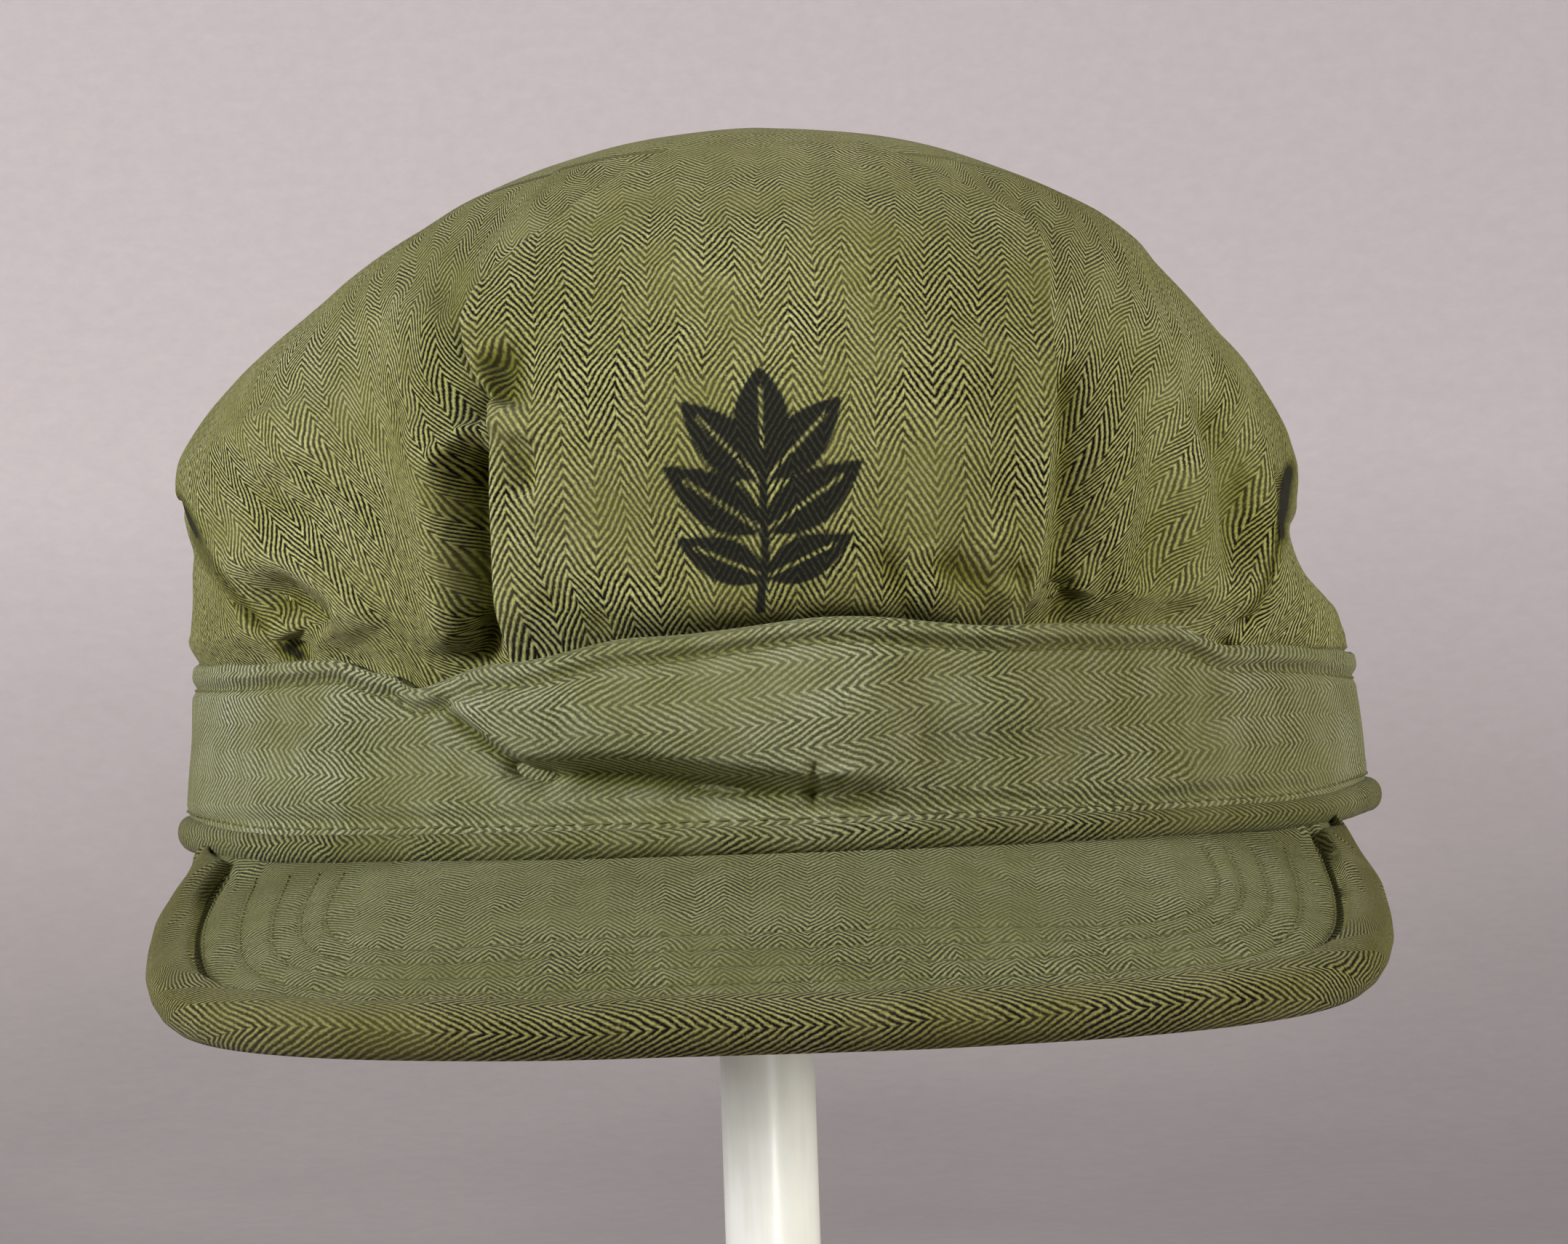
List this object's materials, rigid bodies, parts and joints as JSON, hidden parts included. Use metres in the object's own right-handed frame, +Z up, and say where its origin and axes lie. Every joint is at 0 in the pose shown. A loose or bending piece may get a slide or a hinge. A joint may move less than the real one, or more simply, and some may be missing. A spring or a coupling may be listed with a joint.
{
  "type": "soft cotton field cap on a plain display stand",
  "caption": "Soft herringbone-cotton cap with pleated crown, low band and short stitched peak, held up by a plain round-footed plastic stand.",
  "frame": {"origin": "centre of the stand's flat underside, on the axis of its post", "axes": "+Z up along the post to the top of the cap; the cap's peak and front face -Y; the cap's right side as seen from the front is +X"},
  "size_m": [0.1674, 0.2681, 0.3021],
  "materials": {
    "crown_cloth": "matt herringbone twill",
    "band_cloth": "matt herringbone twill, faded",
    "peak_cloth": "matt twill, stitched",
    "stand_plastic": "milky, slightly glossy"
  },
  "bodies": {
    "root": {"crown_sides": "crown_cloth", "crown_front_panel": "crown_cloth", "band": "band_cloth", "band_hem": "band_cloth", "peak": "peak_cloth", "peak_binding": "peak_cloth", "stand_base": "stand_plastic", "stand_post": "stand_plastic", "stand_rest": "stand_plastic"}
  },
  "joints": []
}
